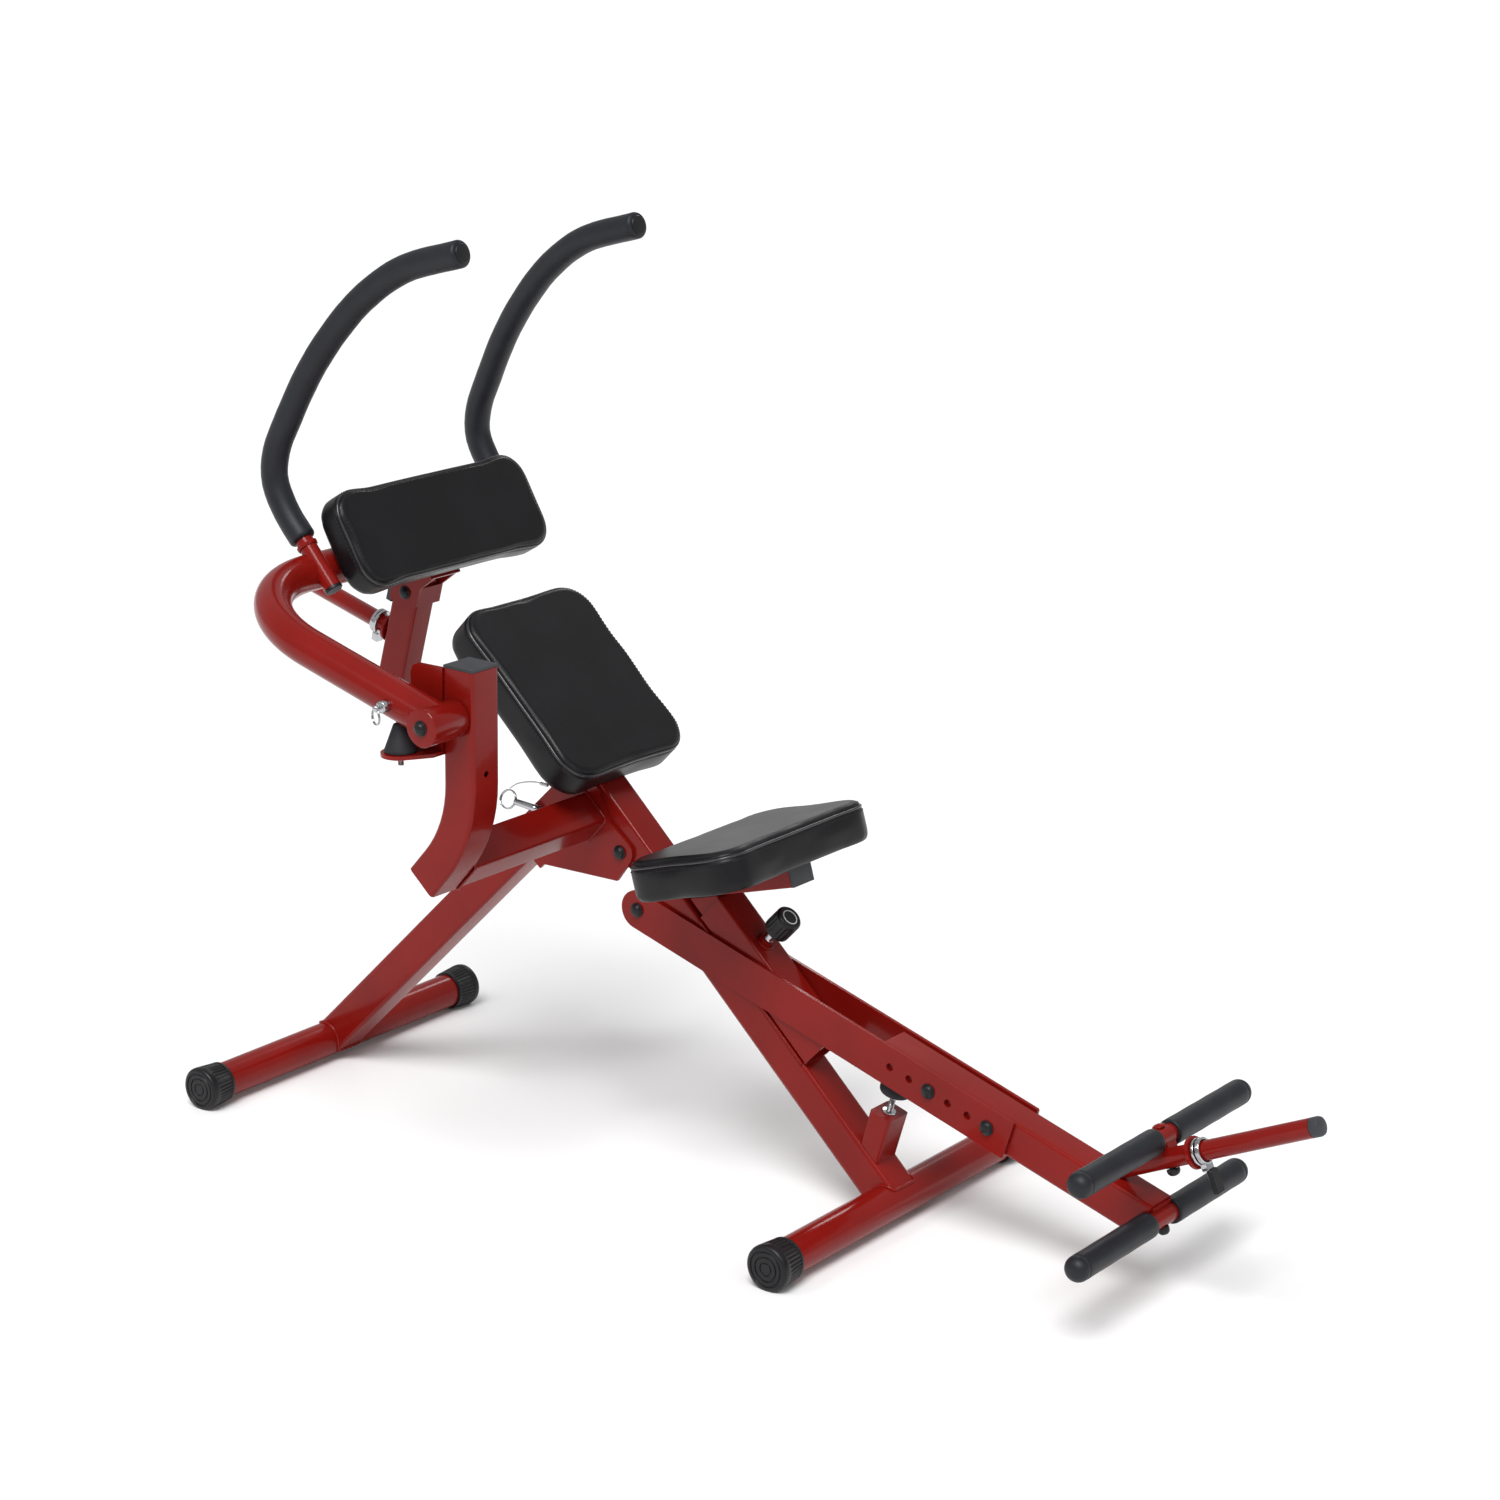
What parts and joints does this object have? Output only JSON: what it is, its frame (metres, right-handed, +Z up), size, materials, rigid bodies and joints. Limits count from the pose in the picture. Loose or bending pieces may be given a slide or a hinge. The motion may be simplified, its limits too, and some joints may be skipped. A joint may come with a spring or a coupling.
{
  "type": "roman chair",
  "caption": "Semi-recumbent abdominal bench with inclined back pad, sliding seat, swinging upper arm with curved grips and head pad, and a leg lever with foam foot rollers.",
  "frame": {"origin": "middle of the base of the bounding box, on the floor", "axes": "+Z up; +X from the rear stand towards the foot rollers, the way the person faces; +Y to that person's left"},
  "size_m": [1.686, 0.7148, 1.2688],
  "materials": {
    "red_enamel": "gloss dark red powder coat",
    "black_vinyl": "stitched vinyl with a slight sheen",
    "black_foam": "matte foam rubber",
    "black_plastic": "moulded plastic",
    "grey_plug": "matte dark grey plastic",
    "black_rubber": "matte rubber",
    "chrome_steel": "bright chrome",
    "zinc_steel": "zinc plate"
  },
  "bodies": {
    "base": {"main_tube": "red_enamel", "front_foot": "red_enamel", "front_cap_left": "black_plastic", "front_cap_right": "black_plastic", "seat_receiver": "red_enamel", "stop_post": "red_enamel", "stop_bumper": "black_rubber", "back_pad": "black_vinyl", "lock_stub": "red_enamel", "fold_bolt": "black_plastic", "lever_pivot_bolt": "black_plastic"},
    "rear_frame": {"rear_foot": "red_enamel", "rear_cap_left": "black_plastic", "rear_cap_right": "black_plastic", "rear_leg": "red_enamel", "leg_plate_left": "red_enamel", "leg_plate_right": "red_enamel", "cross_tube": "red_enamel", "upright": "red_enamel", "upright_plug": "grey_plug", "arm_stop_bracket": "red_enamel", "arm_bumper": "black_rubber", "arm_pivot_bolt": "black_plastic", "lock_lanyard": "zinc_steel"},
    "lock_pin": {"lock_pin": "chrome_steel"},
    "arm": {"arm_tube": "red_enamel", "arm_post": "red_enamel", "arm_peg": "red_enamel", "handle_left": "red_enamel", "handle_right": "red_enamel", "grip_left": "black_foam", "grip_right": "black_foam", "handle_plug_left": "black_plastic", "handle_plug_right": "black_plastic", "pad_bracket": "red_enamel", "bracket_plug": "grey_plug", "bracket_bolt": "black_plastic", "head_pad": "black_vinyl"},
    "arm_lock_pin": {"arm_lock_pin": "chrome_steel"},
    "arm_collar": {"arm_collar": "chrome_steel"},
    "lever": {"lever_plate_left": "red_enamel", "lever_plate_right": "red_enamel", "lever_extension": "red_enamel", "extension_bolt_front": "black_plastic", "extension_bolt_rear": "black_plastic", "foot_peg": "red_enamel", "foot_peg_plug": "grey_plug", "upper_foot_bar": "red_enamel", "upper_bar_bolt": "black_plastic", "lower_foot_bar": "red_enamel"},
    "foot_collar": {"foot_collar": "chrome_steel"},
    "seat": {"seat_post": "red_enamel", "seat_rail": "red_enamel", "seat_rail_plug": "grey_plug", "seat_pad": "black_vinyl"},
    "seat_pin": {"seat_pin": "black_plastic"},
    "roller_upper_left": {"roller_upper_left": "black_foam"},
    "roller_upper_right": {"roller_upper_right": "black_foam"},
    "roller_lower_left": {"roller_lower_left": "black_foam"},
    "roller_lower_right": {"roller_lower_right": "black_foam"}
  },
  "joints": [
    {"name": "rear_fold", "type": "hinge", "parent": "base", "child": "rear_frame", "pos_m": [-0.22126, 0.07339, 0.4322], "axis": [0, -1, 0], "range_deg": [0, 46]},
    {"name": "lock_pin_pull", "type": "slide", "parent": "rear_frame", "child": "lock_pin", "axis": [0, -1, 0], "range_m": [0, 0.075]},
    {"name": "arm_swing", "type": "hinge", "parent": "rear_frame", "child": "arm", "pos_m": [-0.22676, 0.07339, 0.69], "axis": [0, 1, 0], "range_deg": [0, 70]},
    {"name": "arm_pin_pull", "type": "slide", "parent": "arm", "child": "arm_lock_pin", "axis": [0, -1, 0], "range_m": [0, 0.01], "stiffness_N_per_m": 600, "springref_m": -0.003},
    {"name": "arm_collar_slide", "type": "slide", "parent": "arm", "child": "arm_collar", "axis": [-0.9613, 0, 0.2756], "range_m": [0, 0.15]},
    {"name": "lever_swing", "type": "hinge", "parent": "base", "child": "lever", "pos_m": [-0.19176, 0.07339, 0.356], "axis": [0, -1, 0], "range_deg": [0, 31]},
    {"name": "foot_collar_slide", "type": "slide", "parent": "lever", "child": "foot_collar", "axis": [0.9114, 0, 0.4115], "range_m": [0, 0.15]},
    {"name": "seat_slide", "type": "slide", "parent": "base", "child": "seat", "axis": [-0.7193, 0, 0.6947], "range_m": [0, 0.1]},
    {"name": "seat_pin_pull", "type": "slide", "parent": "base", "child": "seat_pin", "axis": [0.6947, 0, 0.7193], "range_m": [0, 0.009], "stiffness_N_per_m": 700, "springref_m": -0.003},
    {"name": "roller_upper_left_spin", "type": "hinge", "parent": "lever", "child": "roller_upper_left", "pos_m": [0.61924, 0.07339, 0.2155], "axis": [0, 1, 0], "continuous": true},
    {"name": "roller_upper_right_spin", "type": "hinge", "parent": "lever", "child": "roller_upper_right", "pos_m": [0.61924, 0.07339, 0.2155], "axis": [0, 1, 0], "continuous": true},
    {"name": "roller_lower_left_spin", "type": "hinge", "parent": "lever", "child": "roller_lower_left", "pos_m": [0.61874, 0.07339, 0.107], "axis": [0, 1, 0], "continuous": true},
    {"name": "roller_lower_right_spin", "type": "hinge", "parent": "lever", "child": "roller_lower_right", "pos_m": [0.61874, 0.07339, 0.107], "axis": [0, 1, 0], "continuous": true}
  ]
}
